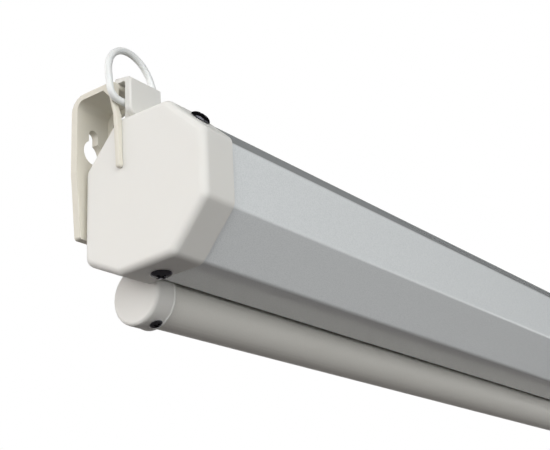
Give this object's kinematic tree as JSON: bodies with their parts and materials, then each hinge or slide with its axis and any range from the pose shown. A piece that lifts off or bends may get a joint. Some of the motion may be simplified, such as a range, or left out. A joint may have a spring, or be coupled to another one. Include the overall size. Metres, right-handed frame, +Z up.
{
  "type": "projector screen",
  "caption": "Wall-mounted pull-down projector screen with an octagonal case, end caps that hook onto wall brackets, hanging rings, a spring roller and a round batten with a pull handle.",
  "frame": {"origin": "on the wall plane, midway between the end caps, at the mid height of the case's end caps", "axes": "+X along the case to the viewer's right, +Y from the room into the wall, +Z up"},
  "size_m": [1.3798, 0.0879, 0.1908],
  "materials": {
    "case_coat": "satin powder coat",
    "cap_plastic": "fine moulded texture",
    "bracket_plastic": "satin",
    "ring_plastic": "satin",
    "black_screw": "black, glossy",
    "bright_steel": "bright",
    "zinc_steel": "zinc plated",
    "nylon": "matte",
    "spring_steel": "oiled",
    "screen_cloth": "matte white",
    "batten_coat": "satin",
    "handle_plastic": "satin"
  },
  "bodies": {
    "housing": {"bearing_plate_left": "nylon", "bearing_plate_right": "nylon", "cap_screw_bottom_left": "black_screw", "cap_screw_bottom_right": "black_screw", "cap_screw_top_left": "black_screw", "cap_screw_top_right": "black_screw", "end_cap_left": "cap_plastic", "end_cap_right": "cap_plastic", "idle_bush": "nylon", "ratchet_wheel": "zinc_steel", "screen_case": "case_coat", "spring_anchor": "nylon", "spring_shaft": "bright_steel", "torsion_spring": "spring_steel", "wall_bracket_left": "bracket_plastic", "wall_bracket_right": "bracket_plastic"},
    "batten": {"batten_tube": "batten_coat", "batten_cap_left": "cap_plastic", "batten_cap_right": "cap_plastic", "batten_cap_screw_left": "black_screw", "batten_cap_screw_right": "black_screw", "hem_rod": "nylon", "handle_saddle": "handle_plastic", "saddle_screw_left": "bright_steel", "saddle_screw_right": "bright_steel", "fabric_fall": "screen_cloth"},
    "roller": {"roller_tube": "zinc_steel", "wound_fabric": "screen_cloth", "idle_plug": "nylon", "idle_pin": "bright_steel", "idle_washer": "zinc_steel", "spring_plug": "nylon", "spring_carrier": "nylon"},
    "upper_pawl": {"pawl_upper": "zinc_steel"},
    "lower_pawl": {"pawl_lower": "zinc_steel"},
    "left_ring": {"hanging_ring_left": "ring_plastic"},
    "right_ring": {"hanging_ring_right": "ring_plastic"},
    "handle": {"pull_handle": "handle_plastic"}
  },
  "joints": [
    {"name": "batten_slide", "type": "slide", "parent": "housing", "child": "batten", "axis": [0, 0, -1], "range_m": [0, 1.25], "deforming": ["fabric_fall"]},
    {"name": "roller_turn", "type": "hinge", "parent": "housing", "child": "roller", "pos_m": [0, -0.04086, 0.005], "axis": [-1, 0, 0], "range_deg": [0, 3245]},
    {"name": "upper_pawl_swing", "type": "hinge", "parent": "roller", "child": "upper_pawl", "pos_m": [0.668, -0.04086, 0.0168], "axis": [1, 0, 0], "range_deg": [-12, 18]},
    {"name": "lower_pawl_swing", "type": "hinge", "parent": "roller", "child": "lower_pawl", "pos_m": [0.668, -0.04086, -0.0068], "axis": [1, 0, 0], "range_deg": [-12, 18]},
    {"name": "handle_swing", "type": "hinge", "parent": "batten", "child": "handle", "pos_m": [0, -0.0165, -0.0679], "axis": [1, 0, 0], "range_deg": [-80, 22]},
    {"name": "left_ring_swing", "type": "hinge", "parent": "housing", "child": "left_ring", "pos_m": [-0.6711, -0.0334, 0.0504], "axis": [1, 0, 0], "range_deg": [-35, 105]},
    {"name": "right_ring_swing", "type": "hinge", "parent": "housing", "child": "right_ring", "pos_m": [0.6711, -0.0334, 0.0504], "axis": [1, 0, 0], "range_deg": [-35, 105]}
  ],
  "couplings": [
    {"joint": "roller_turn", "follows": "batten_slide", "rad_per_m": 45.239}
  ]
}
